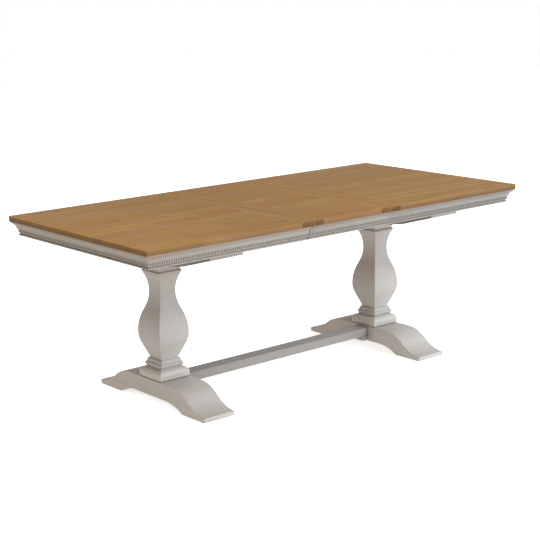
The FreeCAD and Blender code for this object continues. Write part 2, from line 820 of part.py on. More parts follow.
def foot_glides():
    """Flat glides under the pads, at both edges of each toe and near each arch."""
    glides = []
    near_end = foot_length / 2 - glide_inset
    near_arch = foot_length / 2 - pad_length + glide_inset
    across = foot_width / 2 - glide_inset
    for y in (-near_end, -near_arch, near_arch, near_end):
        for side in (-across, across):
            x = -pedestal_x + side
            glides.append(box(x - glide_width / 2, x + glide_width / 2, y - glide_length / 2,
                              y + glide_length / 2, 0, glide_thickness))
    return glides


def stretcher_tenon(clearance):
    """The left tenon of the stretcher; with a clearance, its mortise in the foot."""
    x_high = -pedestal_x + foot_width / 2
    reach_y = stretcher_width / 2 - tenon_shoulder + clearance
    return box(x_high - tenon_length - clearance, x_high, -reach_y, reach_y,
               stretcher_bottom + tenon_shoulder - clearance, stretcher_top - tenon_shoulder + clearance)


def stretcher():
    x_end = pedestal_x - foot_width / 2
    bar = box(-x_end, x_end, -stretcher_width / 2, stretcher_width / 2, stretcher_bottom, stretcher_top)
    long_edges = [edge for edge in bar.Edges if near(edge.BoundBox.XLength, 2 * x_end)]
    bar = bar.makeChamfer(stretcher_bevel, long_edges)
    left = stretcher_tenon(0)
    return bar.fuse([left, swapped_left_right(left)]).removeSplitter()


def cleat():
    """The block on the foot that the stretcher's end rests on."""
    x_low = -pedestal_x + foot_width / 2
    return box(x_low, x_low + cleat_length, -cleat_width / 2, cleat_width / 2,
               stretcher_bottom - cleat_height, stretcher_bottom)


def fixing_plate():
    """A steel plate under the stretcher, beside the cleat."""
    x_low = -pedestal_x + foot_width / 2 + cleat_length
    return box(x_low, x_low + plate_length, -plate_width / 2, plate_width / 2,
               stretcher_bottom - plate_thickness, stretcher_bottom)


def plate_screws():
    x_low = -pedestal_x + foot_width / 2 + cleat_length
    places = [x_low + plate_length * share for share in end_screw_shares]
    low = stretcher_bottom - plate_thickness
    return [screw(Vector(x, 0, low), plate_thickness + screw_bite) for x in places]


def tie_rod_hardware():
    """A threaded rod through the pedestal, with a washer and a nut at each end."""
    low_seat = foot_bottom + arch_rise + recess_depth
    high_seat = bearer_top - recess_depth
    low_end = low_seat - washer_thickness - nut_height - rod_end
    high_end = high_seat + washer_thickness + nut_height + rod_end
    rod = rod_along_z(rod_radius, -pedestal_x, 0, low_end, high_end)
    corner = nut_flats / 2 / math.cos(math.pi / nut_sides)
    nuts = []
    washers = []
    for washer_low, nut_low in ((low_seat - washer_thickness, low_seat - washer_thickness - nut_height),
                                (high_seat, high_seat + washer_thickness)):
        washer = rod_along_z(washer_radius, -pedestal_x, 0, washer_low, washer_low + washer_thickness)
        washers.append(washer.cut(rod))
        corners = ring_of_points(corner, nut_sides, Vector(-pedestal_x, 0, nut_low))
        nuts.append(polygon_prism(corners, Vector(0, 0, nut_height)).cut(rod))
    return rod, nuts, washers


def both_ends(solids):
    return list(solids) + [swapped_left_right(solid) for solid in solids]


def make_base():
    keep_both_ends("baluster", baluster())
    keep_both_ends("plinth", plinth())
    keep_both_ends("bearer", bearer().cut(bearer_head_sockets()))
    keep_both_ends("foot", foot())
    keep_both_ends("stretcher_cleat", cleat())
    bolts = rail_bolts()
    for name in ("front_rail", "back_rail"):
        pieces[name] = [pieces[name][0].cut(both_ends(bolts))]
    keep("rail_bolts", *both_ends(bolts))
    screws = plate_screws()
    keep("stretcher", stretcher().cut(both_ends(screws)))
    keep("stretcher_plates", *both_ends([fixing_plate().cut(screws)]))
    keep("plate_screws", *both_ends(screws))
    rod, nuts, washers = tie_rod_hardware()
    keep("tie_rods", *both_ends([rod]))
    keep("tie_rod_nuts", *both_ends(nuts))
    keep("tie_rod_washers", *both_ends(washers))
    keep("foot_glides", *both_ends(foot_glides()))


def write_pieces():
    for name, solids in pieces.items():
        shape = solids[0] if len(solids) == 1 else Part.makeCompound(solids)
        shape.exportStep("parts/" + name + ".step")
        print(name, "solids", len(shape.Solids), "faces", len(shape.Faces), "valid", shape.isValid())
    print("pieces", len(pieces))


make_oak_top()
make_cornice()
make_slides()
make_base()
write_pieces()
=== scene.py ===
# %% [markdown]
# # An extending dining table in oak and greige paint
# The real table is an oak top in three sections over a painted cornice, on two square
# balusters that stand on bracket feet. The construction already holds every piece at its
# true size and place, and this script moves none of them. It dresses them instead: the
# painted pieces get soft arrises, the cornice and the cross bearers get the last of their
# shape, the dentils are set out tooth by tooth, and every surface gets a finish made of
# nodes. Everything is in metres, with Z up.

# %% Load the construction
import json
import math

import bmesh
import bpy
from mathutils import Matrix, Vector

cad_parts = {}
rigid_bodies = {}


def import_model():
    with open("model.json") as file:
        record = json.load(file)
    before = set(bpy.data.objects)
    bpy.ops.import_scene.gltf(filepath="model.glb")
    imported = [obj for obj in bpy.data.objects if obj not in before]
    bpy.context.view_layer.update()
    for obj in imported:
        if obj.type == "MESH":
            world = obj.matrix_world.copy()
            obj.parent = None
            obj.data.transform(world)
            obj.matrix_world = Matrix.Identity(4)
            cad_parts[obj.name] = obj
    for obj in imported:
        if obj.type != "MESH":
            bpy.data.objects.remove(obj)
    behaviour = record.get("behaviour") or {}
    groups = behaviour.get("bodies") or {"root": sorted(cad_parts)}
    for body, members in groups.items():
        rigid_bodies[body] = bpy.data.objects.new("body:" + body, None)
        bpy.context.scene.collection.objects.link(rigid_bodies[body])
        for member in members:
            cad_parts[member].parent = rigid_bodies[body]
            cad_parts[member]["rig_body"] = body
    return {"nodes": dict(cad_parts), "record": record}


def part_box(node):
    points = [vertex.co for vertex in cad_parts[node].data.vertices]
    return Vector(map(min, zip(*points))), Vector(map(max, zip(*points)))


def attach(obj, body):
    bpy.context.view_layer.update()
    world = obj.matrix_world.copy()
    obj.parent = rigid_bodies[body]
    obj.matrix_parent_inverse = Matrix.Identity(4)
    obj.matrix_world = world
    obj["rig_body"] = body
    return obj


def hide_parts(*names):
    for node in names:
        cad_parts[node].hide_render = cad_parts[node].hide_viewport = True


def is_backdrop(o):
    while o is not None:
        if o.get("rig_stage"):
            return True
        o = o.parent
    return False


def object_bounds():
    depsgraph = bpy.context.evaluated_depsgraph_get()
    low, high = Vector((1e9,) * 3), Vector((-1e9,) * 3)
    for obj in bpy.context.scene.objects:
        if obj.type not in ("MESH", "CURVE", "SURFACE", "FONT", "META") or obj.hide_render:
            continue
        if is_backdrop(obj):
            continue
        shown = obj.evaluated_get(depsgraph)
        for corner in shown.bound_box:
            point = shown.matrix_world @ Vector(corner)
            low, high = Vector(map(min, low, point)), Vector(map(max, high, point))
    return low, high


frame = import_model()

nodes = frame["nodes"]
millimetre = 0.001
cad_low, cad_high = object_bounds()


def new_object(name, data):
    """A new object in the scene, at the origin."""
    made = bpy.data.objects.new(name, data)
    bpy.context.scene.collection.objects.link(made)
    return made


print("pieces from the construction:", len(nodes))

# %% [markdown]
# ## The camera first
# A picture can only be compared with its model from the same place. The camera stands
# off the front left corner of the table, a little above eye height, and looks down on
# the top. A long lens keeps the long edges close to parallel. The small turn about the
# line of sight and the small sideways shift repeat how the picture was taken and cut.

# %% Camera
image_width = 540
camera_place = Vector((-3.8505, -4.393, 1.7991))
camera_heading = 0.6964
camera_dip = 0.2251
camera_roll = 0.0162
focal_pixels = 1345.8
optical_axis_pixel = 245.0
sensor_width = 36.0


def look_matrix(place, heading, dip, roll):
    """The camera's matrix: heading is turned from +Y towards +X, dip is downwards."""
    forward = Vector((math.sin(heading) * math.cos(dip), math.cos(heading) * math.cos(dip),
                      -math.sin(dip)))
    level = Vector((math.cos(heading), -math.sin(heading), 0))
    down = forward.cross(level)
    right = level * math.cos(roll) + down * math.sin(roll)
    up = level * math.sin(roll) - down * math.cos(roll)
    turned = Matrix((right, up, -forward)).transposed().to_4x4()
    return Matrix.Translation(place) @ turned


camera_data = bpy.data.cameras.new("studio_camera")
camera_data.sensor_width = sensor_width
camera_data.lens = focal_pixels / image_width * sensor_width
camera_data.shift_x = 0.5 - optical_axis_pixel / image_width
camera = new_object("studio_camera", camera_data)
camera.matrix_world = look_matrix(camera_place, camera_heading, camera_dip, camera_roll)
bpy.context.scene.camera = camera
print("lens in millimetres:", round(camera_data.lens, 1))

# %% [markdown]
# ## Short words for building node trees
# A finish is a graph of small nodes, and each takes several lines of code. Helpers keep
# the graphs readable: one links a socket or fills it, one adds a node with its inputs,
# and the rest are sums. A socket knows its own tree, so a sum needs only its numbers.

# %% Nodes and sums


def is_socket(value):
    return isinstance(value, bpy.types.NodeSocket)


def connect(value, socket):
    """Link a socket to another socket, or set it to a plain value."""
    if is_socket(value):
        socket.id_data.links.new(value, socket)
    else:
        socket.default_value = value


def add(tree, kind, inputs=None, **settings):
    """Add a node, change its settings, then set or link its inputs."""
    made = tree.nodes.new(kind)
    for key, value in settings.items():
        setattr(made, key, value)
    for key, value in (inputs or {}).items():
        connect(value, made.inputs[key])
    return made


def calc(operation, first, second=0.0, clamp=False):
    """One sum, made in the tree of its first socket."""
    made = add(first.id_data, "ShaderNodeMath", {0: first, 1: second}, operation=operation,
               use_clamp=clamp)
    return made.outputs[0]


def plus(first, second):
    return calc("ADD", first, second)


def minus(first, second):
    return calc("SUBTRACT", first, second)


def times(first, second):
    return calc("MULTIPLY", first, second)


def distance(value):
    """A number without its sign."""
    return calc("ABSOLUTE", value)


def between(value, low, high, out_low=0.0, out_high=1.0):
    """Read a number on one scale and give it on another, with a soft start and end."""
    made = add(value.id_data, "ShaderNodeMapRange",
               {"Value": value, "From Min": low, "From Max": high, "To Min": out_low,
                "To Max": out_high}, interpolation_type="SMOOTHSTEP")
    return made.outputs["Result"]


def vector_of(tree, x, y, z):
    return add(tree, "ShaderNodeCombineXYZ", {0: x, 1: y, 2: z}).outputs[0]


# %% [markdown]
# Colours are laid over one another by a share, or multiplied by a tone, which darkens or
# warms what is there. Wood grain, brush marks and dust all start from the same thing:
# soft random values that are drawn out along the grain.

# %% Colours and random patterns


def blend_colours(share, first, second, kind="MIX"):
    """Lay one colour over another by a share."""
    owner = share if is_socket(share) else first
    made = add(owner.id_data, "ShaderNodeMix", data_type="RGBA", blend_type=kind)
    colour_inputs = [socket for socket in made.inputs if socket.type == "RGBA"]
    connect(share, made.inputs[0])
    connect(first, colour_inputs[0])
    connect(second, colour_inputs[1])
    return [socket for socket in made.outputs if socket.type == "RGBA"][0]


def tinted(colour, tone):
    """A colour multiplied by a tone."""
    return blend_colours(1.0, colour, tone, "MULTIPLY")


def noise(tree, vector, scale=1.0, detail=3.0, roughness=0.5, distortion=0.0):
    """Soft random values between 0 and 1."""
    made = add(tree, "ShaderNodeTexNoise",
               {"Vector": vector, "Scale": scale, "Detail": detail, "Roughness": roughness,
                "Distortion": distortion})
    return made.outputs[0]


def grain_noise(tree, place, pattern, shift=None, distortion=0.0):
    """Random values drawn out along the grain. A pattern holds how fast they change along
    the grain and across it, then how fine and how rough they are."""
    along, across, height = place
    lengthways, sideways, detail, roughness = pattern
    vector = vector_of(tree, times(along, lengthways), times(across, sideways),
                       times(height, sideways))
    if shift is not None:
        vector = add(tree, "ShaderNodeVectorMath", {0: vector, 1: shift}, operation="ADD").outputs[0]
    return noise(tree, vector, 1.0, detail, roughness, distortion)


def random_of(tree, vector):
    """A random value and a random colour for each different vector."""
    return add(tree, "ShaderNodeTexWhiteNoise", {"Vector": vector}, noise_dimensions="3D").outputs


# %% [markdown]
# Every finish starts as an empty material, asks where a point lies on the table and which
# way its face looks, and ends with a roughness and a little relief.

# %% Places, faces and relief
satin_range = (0.2, 0.8, 0.46, 0.60)


def new_finish(name):
    """An empty material with its tree and its shader."""
    material = bpy.data.materials.new(name)
    material.use_nodes = True
    tree = material.node_tree
    return material, tree, tree.nodes["Principled BSDF"]


def split_place(tree, axis):
    """The place on the table: along the grain, across it, and in the third direction,
    which is the height unless the grain stands upright."""
    place = add(tree, "ShaderNodeTexCoord").outputs["Object"]
    parts = add(tree, "ShaderNodeSeparateXYZ", {0: place})
    order = {"x": (0, 1, 2), "y": (1, 0, 2), "z": (2, 0, 1)}[axis]
    return [parts.outputs[number] for number in order]


def facing_of(tree):
    """Which way a face looks, as a number for each axis."""
    normal = add(tree, "ShaderNodeTexCoord").outputs["Normal"]
    return dict(zip("xyz", add(tree, "ShaderNodeSeparateXYZ", {0: normal}).outputs))


def set_relief(tree, shader, relief, strength, depth):
    """Let the surface rise and fall a little with a number."""
    bump = add(tree, "ShaderNodeBump", {"Height": relief, "Strength": strength, "Distance": depth})
    connect(bump.outputs[0], shader.inputs["Normal"])


# %% [markdown]
# ## Oiled oak
# The top is glued up from staves. Each stave is cut from another board, so its tone and
# its figure jump a little at the glue line. An image of oak would repeat; here every
# stave gets its own random number from its row and its place in the row, and that number
# shifts its figure and its tone. The figure is a set of rings, as in a log that is seen
# nearly lengthways, with streaks and fine dark pores over them.

# %% Staves and their figure
oak_light = (0.234, 0.116, 0.0290, 1.0)
oak_middle = (0.193, 0.090, 0.0204, 1.0)
oak_dark = (0.108, 0.045, 0.0105, 1.0)
rows_start = 1.5
row_stagger = 9.0
log_spread = (7.0, 7.0, 7.0)
pith_spread = 0.09
pith_height = 0.70
pith_height_spread = 0.05
ring_wander = 0.055
ring_frequency = 1500.0
wander_pattern = (1.4, 6.0, 2.0, 0.5)
streak_pattern = (5.0, 130.0, 4.0, 0.6)
pore_pattern = (38.0, 1500.0, 2.0, 0.7)
mottle_pattern = (1.1, 4.0, 2.0, 0.5)
pore_range = (0.60, 0.72)
ring_share = 0.26
streak_share = 0.74
print("rings in a centimetre:", round(ring_frequency / (2 * math.pi) / 100, 1))


def from_middle(value):
    """A number between 0 and 1, counted from its middle."""
    return minus(value, 0.5)


def stave_at(tree, place, row_width, stave_length):
    """The stave in which a point lies, with its random numbers."""
    along, across = place[:2]
    row_place = calc("DIVIDE", plus(across, rows_start), row_width)
    row = calc("FLOOR", row_place)
    row_random = random_of(tree, vector_of(tree, row, 0.0, 0.0))["Value"]
    run_place = plus(calc("DIVIDE", along, stave_length), times(row_random, row_stagger))
    chance = random_of(tree, vector_of(tree, row, calc("FLOOR", run_place), 0.0))
    shift = add(tree, "ShaderNodeVectorMath", {0: chance["Color"], 1: log_spread}, operation="MULTIPLY")
    return {"row_place": row_place, "run_place": run_place, "row_random": row_random,
            "random": chance["Value"], "shift": shift.outputs[0]}


def ring_figure(tree, place, stave, row_width):
    """Growth rings round a wandering pith, between 0 and 1."""
    wander = grain_noise(tree, place, wander_pattern, stave["shift"])
    pith = times(from_middle(stave["random"]), pith_spread)
    side = plus(from_middle(calc("FRACT", stave["row_place"])), pith)
    side = plus(times(side, row_width), times(from_middle(wander), ring_wander))
    depth = plus(minus(place[2], pith_height), times(stave["random"], pith_height_spread))
    radius = calc("SQRT", plus(times(side, side), times(depth, depth)))
    return between(calc("SINE", times(radius, ring_frequency)), -1.0, 1.0)


# %% [markdown]
# The figure is turned into colour by running from light oak to middle oak. Slow mottling
# and the pores are laid over it in dark oak, then each stave is turned a little in hue,
# depth and lightness. A glue line is a hair of dark oak round the stave.

# %% Colour of the staves
figure_range = (0.25, 0.80)
mottle_range = (0.45, 0.95, 0.0, 0.30)
pore_share = 0.40
hue_range = (0.4975, 0.5025)
saturation_range = (0.97, 1.03)
lightness_range = (0.955, 1.035)
glue_line_width = 0.7 * millimetre
glue_line_share = 0.45
print("a glue line in millimetres:", round(glue_line_width / millimetre, 1))


def stave_colour(tree, stave, figure, mottle, pores):
    """The colour of one stave from its figure."""
    colour = blend_colours(between(figure, *figure_range), oak_light, oak_middle)
    colour = blend_colours(between(mottle, *mottle_range), colour, oak_dark)
    colour = blend_colours(times(pores, pore_share), colour, oak_dark)
    turned = add(tree, "ShaderNodeHueSaturation",
                 {"Hue": between(stave["random"], 0.0, 1.0, *hue_range),
                  "Saturation": between(stave["row_random"], 0.0, 1.0, *saturation_range),
                  "Value": between(stave["random"], 0.0, 1.0, *lightness_range),
                  "Color": colour})
    return turned.outputs[0]


def glue_lines(stave, row_width, stave_length):
    """One on the glue lines round a stave, nought inside it."""
    lines = []
    for place, length in ((stave["row_place"], row_width), (stave["run_place"], stave_length)):
        offset = distance(from_middle(calc("FRACT", place)))
        lines.append(between(offset, 0.5 - glue_line_width / length, 0.5))
    return calc("MAXIMUM", lines[0], lines[1])


# %% [markdown]
# The edge of the top is painted darker than its face, as painted shade. Staves show there
# in lengths of half a metre, each in a tone of its own, the foot of the edge carries more
# painted shade, and the edge's painted shade comes in gradually below the arris, as on a
# larger round. The whole top is paler at its left end and greyer towards its right end,
# where the grey is a painted sheen; its edge is darker towards the right end too.

# %% Edge of the top
leaf_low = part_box("leaf_left_breadboard")[0]
seam_place = abs(leaf_low.x)
half_table = cad_high.x
table_height = cad_high.z
top_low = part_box("leaf_panel")[0].z
edge_stave_length = 0.50
edge_stave_start = 0.786
edge_stave_seed = 378.0
# The edge tones are painted shade on the upright edge, with a random tone for each stave.
edge_tone_dark = (0.535, 0.563, 0.90, 1.0)
edge_tone_light = (0.677, 0.750, 1.35, 1.0)
edge_tone_right = (0.80, 0.81, 0.83, 1.0)
# The foot of the edge and its gradual roll below the arris carry more painted shade.
edge_foot_shade = (0.90, 0.90, 0.94, 1.0)
edge_foot_shade_rise = (14.0 * millimetre, 2.0 * millimetre)
edge_round_shade = 16.0 * millimetre
edge_round_shade_share = 0.6
upright_range = (0.75, 0.15)
oak_tone_left = (1.17, 1.20, 1.30, 1.0)
# Towards the right end the top's grey is a painted sheen.
oak_sheen_right = (0.92, 0.97, 1.12, 1.0)
left_tone_start = -0.25
right_tone_start = 0.10
print("thickness of the top in millimetres:", round((table_height - top_low) / millimetre, 1))


def on_edge(upward, height):
    """One on the upright edge of the top, where its painted shade lies, rolling off towards its face."""
    upright = between(distance(upward), *upright_range)
    rolled = between(height, table_height, table_height - edge_round_shade, edge_round_shade_share, 1.0)
    return times(upright, rolled)


def edge_tone_at(tree, table_x, table_y, height):
    """The tone of the stave that shows at a place along the edge, in the edge's painted shade."""
    run = calc("DIVIDE", plus(table_x, edge_stave_start), edge_stave_length)
    piece = vector_of(tree, calc("FLOOR", run), calc("SIGN", table_y), edge_stave_seed)
    tone = blend_colours(random_of(tree, piece)["Value"], edge_tone_dark, edge_tone_light)
    near_foot = between(height, top_low + edge_foot_shade_rise[0], top_low + edge_foot_shade_rise[1])
    return blend_colours(near_foot, tone, tinted(tone, edge_foot_shade))


def toned_oak(colour, table_x, edge, edge_tone):
    """Tone the staves from end to end of the table, with a painted sheen towards its right end, and lay
    the painted shade on its edge.
    """
    left_share = between(table_x, left_tone_start, -half_table)
    left_share = minus(left_share, times(left_share, edge))
    colour = blend_colours(left_share, colour, tinted(colour, oak_tone_left))
    right_share = between(table_x, right_tone_start, half_table)
    colour = blend_colours(right_share, colour, tinted(colour, oak_sheen_right))
    edge_tone = blend_colours(right_share, edge_tone, tinted(edge_tone, edge_tone_right))
    return blend_colours(edge, colour, tinted(colour, edge_tone))


# %% [markdown]
# Faces cut across the grain drink more oil, so end grain is darker and speckled. The
# short sides of the table show it least. A narrow strip of end grain beside each seam is
# left lighter, as a painted highlight on the rounded upright arris there. The arris of the
# long sides stays close to the colour of the top, and at the short sides it carries a
# painted highlight.

# %% End grain and arrises
end_grain_tone = (0.62, 0.57, 0.55, 1.0)
end_grain_share = {"x": 0.15, "y": 1.0}
end_grain_range = (0.6, 0.95)
speckle_pattern = (420.0, 420.0, 3.0, 0.5)
speckle_range = (0.3, 0.75, 0.75, 1.1)
# The strip beside a seam is a painted highlight on the rounded upright arris there.
seam_arris_highlight_width = 10.0 * millimetre
seam_arris_highlight_start = 0.7
seam_arris_highlight_share = 0.15
arris_tone = (0.90, 0.94, 1.12, 1.0)
# A painted highlight on the arris of the short ends.
end_arris_highlight = (1.60, 1.62, 1.75, 1.0)
arris_low_range = (0.25, 0.55)
arris_high_range = (0.995, 0.90)
end_arris_range = (0.2, 0.4)
print("share of end grain by axis:", end_grain_share)


def end_grained(tree, colour, place, stave, axis, facing, from_seam):
    """Darken and speckle the faces that are cut across the grain, less so in the painted highlight beside
    a seam.
    """
    end_on = between(distance(facing[axis]), *end_grain_range)
    speckle = between(grain_noise(tree, place, speckle_pattern, stave["shift"]), *speckle_range)
    darker = tinted(colour, end_grain_tone)
    darker = tinted(darker, vector_of(tree, speckle, speckle, speckle))
    off_seam_arris_highlight = between(distance(from_seam), seam_arris_highlight_width * seam_arris_highlight_start, seam_arris_highlight_width,
                        seam_arris_highlight_share, 1.0)
    share = times(times(end_on, off_seam_arris_highlight), end_grain_share[axis])
    return blend_colours(share, colour, darker)


def arris_painted_light(colour, facing):
    """Tone the rounded arris between the face of the top and its edge, with a painted highlight at the
    short ends.
    """
    arris = times(between(facing["z"], *arris_low_range),
                  between(facing["z"], *arris_high_range))
    toward_end = between(distance(facing["x"]), *end_arris_range)
    tone = blend_colours(toward_end, arris_tone, end_arris_highlight)
    return blend_colours(arris, colour, tinted(colour, tone))


# %% [markdown]
# On the top each of the two seams beside the leaf carries a dark line of painted shade
# with a painted highlight next to it, and in the edge of the top the left seam carries a
# painted shadow as of a wide gap. The painted shade stays off the faces that meet inside a
# seam, which shows when it opens.

# %% Seams in the oak
# Painted shadow in the left seam's gap, painted shade along the seams and a painted highlight beside
# them.
left_gap_shadow_width = 4.5 * millimetre
seam_shadow = (0.030, 0.016, 0.008, 1.0)
seam_shadow_share = 0.9
seam_line_width = 5.0 * millimetre
seam_shade_place = 0.4 * millimetre
seam_shade_share = 0.75
seam_highlight_place = 8.0 * millimetre
seam_highlight_share = 0.5
seam_highlight_tone = (1.28, 1.30, 1.36, 1.0)
line_core_share = 0.25
seam_face_range = (0.9, 0.6)
print("seams at, in millimetres from the middle:", round(seam_place / millimetre))


def near_line(place, width):
    """One on a line where a number is nought, falling to nought at a distance."""
    return between(distance(place), width, width * line_core_share)


def off_seam_faces(tree):
    """Nought on the faces that meet at a seam, so that the painted seam shade stays off them when it
    opens.
    """
    return between(distance(facing_of(tree)["x"]), *seam_face_range)


def seam_lines(tree, colour, table_x, from_seam, edge):
    """Paint the lines of shade and highlight along the seams, and the shadow of the gap in the edge."""
    seam_shade_line = near_line(minus(from_seam, seam_shade_place), seam_line_width)
    seam_shade_line = times(seam_shade_line, off_seam_faces(tree))
    seam_highlight_line = near_line(plus(from_seam, seam_highlight_place), seam_line_width)
    seam_highlighted = tinted(colour, seam_highlight_tone)
    colour = blend_colours(times(seam_highlight_line, seam_highlight_share), colour, seam_highlighted)
    colour = blend_colours(times(seam_shade_line, seam_shade_share), colour, oak_dark)
    gap = near_line(plus(table_x, seam_place), left_gap_shadow_width)
    gap = times(times(gap, edge), off_seam_faces(tree))
    return blend_colours(times(gap, seam_shadow_share), colour, seam_shadow)


# %% [markdown]
# Two oaks come out of one function. On the panels and the outer strips the grain runs
# along the table in short staves. On the breadboards beside the seams it runs across the
# table, and each of them is one whole board.

# %% Oak finish
stave_width = 62.0 * millimetre
panel_stave_length = 0.74
breadboard_width = 0.19
whole_board = 1000.0
oak_sheen = 0.04
figure_relief = 0.5
pore_relief = 0.8
oak_relief_strength = 0.25
oak_relief_depth = 0.25 * millimetre


def oak_finish(name, axis, row_width, stave_length):
    """Oak whose grain runs along one axis, in staves of a given width and length."""
    material, tree, shader = new_finish(name)
    place = split_place(tree, axis)
    along, across, height = place
    table_x, table_y = (along, across) if axis == "x" else (across, along)
    facing = facing_of(tree)
    stave = stave_at(tree, place, row_width, stave_length)
    streaks = grain_noise(tree, place, streak_pattern, stave["shift"])
    pores = between(grain_noise(tree, place, pore_pattern, stave["shift"]), *pore_range)
    mottle = grain_noise(tree, place, mottle_pattern, stave["shift"])
    rings = ring_figure(tree, place, stave, row_width)
    figure = plus(times(rings, ring_share), times(streaks, streak_share))
    glue_line = glue_lines(stave, row_width, stave_length)
    colour = stave_colour(tree, stave, figure, mottle, pores)
    colour = blend_colours(times(glue_line, glue_line_share), colour, oak_dark)
    edge = on_edge(facing["z"], height)
    colour = toned_oak(colour, table_x, edge, edge_tone_at(tree, table_x, table_y, height))
    from_seam = minus(distance(table_x), seam_place)
    colour = end_grained(tree, colour, place, stave, axis, facing, from_seam)
    colour = arris_painted_light(colour, facing)
    colour = seam_lines(tree, colour, table_x, from_seam, edge)
    connect(colour, shader.inputs["Base Color"])
    connect(between(streaks, *satin_range), shader.inputs["Roughness"])
    shader.inputs["Specular IOR Level"].default_value = oak_sheen
    relief = minus(times(figure, figure_relief), times(pores, pore_relief))
    set_relief(tree, shader, minus(relief, glue_line), oak_relief_strength, oak_relief_depth)
    return material


oak_lengthways = oak_finish("oak_planks", "x", stave_width, panel_stave_length)
oak_crossways = oak_finish("oak_breadboards", "y", breadboard_width, whole_board)
print("nodes in the oak:", len(oak_lengthways.node_tree.nodes))

# %% [markdown]
# ## Greige paint
# The base is brushed with a warm grey paint. Up close the brush leaves fine ridges along
# the length of each piece, and the wood's grain shows through a little. The arrises carry
# a painted highlight, broken up like thin, worn paint, and the hollows and the shaded sides
# of the bearers carry painted shade. Both are numbers that the finish reads from the
# piece: the arrises are found when a piece is softened, and the hollows and shaded sides
# are marked when they are made.

# %% Paint and its wear
paint_colour = (0.252, 0.219, 0.181, 1.0)
# The thin paint colour serves the brush marks and the painted highlight on the arrises.
thin_paint_and_highlight = (0.305, 0.267, 0.225, 1.0)
paint_dusty = (0.18, 0.153, 0.122, 1.0)
# Painted shade for hollows and for the bearers' shaded sides.
hollow_shade_tone = (0.30, 0.275, 0.25, 1.0)
arris_attribute = "arris"
painted_shade_attribute = "hollow"
bristle_pattern = (9.0, 620.0, 3.0, 0.6)
under_grain_pattern = (3.0, 120.0, 3.0, 0.6)
cloud_pattern = (2.2, 2.2, 3.0, 0.5)
highlight_breakup_pattern = (60.0, 60.0, 5.0, 0.7)
cloud_range = (0.30, 0.75, 0.0, 0.07)
under_grain_range = (0.45, 0.80, 0.0, 0.05)
bristle_range = (0.5, 0.8, 0.0, 0.06)
highlight_breakup_range = (0.35, 0.70, 0.25, 0.85)


def attribute_of(tree, name):
    """A number that a piece carries on its points or its corners."""
    return add(tree, "ShaderNodeAttribute", attribute_name=name).outputs["Fac"]


def brushed_colour(tree, clouds, grain, bristles, highlight_breakup):
    """Paint with its clouds, grain and brush marks, and a painted highlight on the arrises, broken up
    like thin, worn paint.
    """
    colour = blend_colours(between(clouds, *cloud_range), paint_colour, paint_dusty)
    colour = blend_colours(between(grain, *under_grain_range), colour, paint_dusty)
    colour = blend_colours(between(bristles, *bristle_range), colour, thin_paint_and_highlight)
    # A painted highlight on the arrises, broken up by noise.
    arris_highlight = calc("MULTIPLY", attribute_of(tree, arris_attribute), between(highlight_breakup, *highlight_breakup_range),
                clamp=True)
    return blend_colours(arris_highlight, colour, thin_paint_and_highlight)


# %% [markdown]
# The painted cornice runs round all three sections, so its joints at the seams carry
# painted shade as fine dark lines, and the left one a painted shadow as of a wider gap.
# Its many small steps shade one another, and that shade is painted in two lines, under
# the top fillet and over the bottom one. The whole cornice is painted darker as the shade
# under the top, and darker still towards its right end.

# %% Seams and shade lines on the cornice
cornice_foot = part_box("leaf_front_apron")[0].z
cornice_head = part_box("leaf_front_apron")[1].z
cornice_start = (-2.0 * millimetre, -1.0 * millimetre)
# Painted shade: the cornice lies under the top.
cornice_shade_tone = (0.74, 0.69, 0.65, 1.0)
cornice_shade_tone_right = (0.54, 0.53, 0.50, 1.0)
shade_line_tone = (0.74, 0.73, 0.72, 1.0)
top_line_drop = 9.0 * millimetre
top_line_width = 4.5 * millimetre
top_line_share = 0.8
foot_line_rise = 6.5 * millimetre
foot_line_width = 2.5 * millimetre
foot_line_share = 0.28
# Painted shadow in the joints at the seams.
seam_shadow_paint = (0.05, 0.042, 0.036, 1.0)
paint_seam_shadow_width = 1.4 * millimetre
right_seam_shadow_share = 0.6
paint_seam_shadow_share = 0.9
print("height of the cornice in millimetres:", round((cornice_head - cornice_foot) / millimetre, 1))


def painted_seam_shade(tree, colour, table_x, height):
    """Paint shade into the joints of the cornice at the seams beside the leaf."""
    from_seam = minus(distance(table_x), seam_place)
    at_left_seam = near_line(plus(table_x, seam_place), left_gap_shadow_width)
    cornice_seam_shade = near_line(minus(from_seam, seam_shade_place), paint_seam_shadow_width)
    cornice_seam_shade = calc("MAXIMUM", at_left_seam, times(cornice_seam_shade, right_seam_shadow_share))
    on_cornice = between(height, cornice_foot + cornice_start[0], cornice_foot + cornice_start[1])
    cornice_seam_shade = times(cornice_seam_shade, times(on_cornice, paint_seam_shadow_share))
    cornice_seam_shade = times(cornice_seam_shade, off_seam_faces(tree))
    return blend_colours(cornice_seam_shade, colour, seam_shadow_paint)


def shaded_cornice(colour, table_x, height):
    """Paint the cornice's shade, darker towards its right end, and its two lines of shade."""
    toward_right = between(table_x, -half_table, half_table)
    colour = tinted(colour, blend_colours(toward_right, cornice_shade_tone, cornice_shade_tone_right))
    top_line = near_line(minus(height, cornice_head - top_line_drop), top_line_width)
    foot_line = near_line(minus(height, cornice_foot + foot_line_rise), foot_line_width)
    line = plus(times(top_line, top_line_share), times(foot_line, foot_line_share))
    return blend_colours(line, colour, tinted(colour, shade_line_tone))


# %% [markdown]
# One function makes all the paints. Brush marks run along a piece, so the axis changes,
# and each kind of piece is painted in a tone of light and shade of its own: the plinths
# and feet, which take more light low down, are painted lighter, and the stretcher, its
# cleats and the bearers are painted darker as shade.

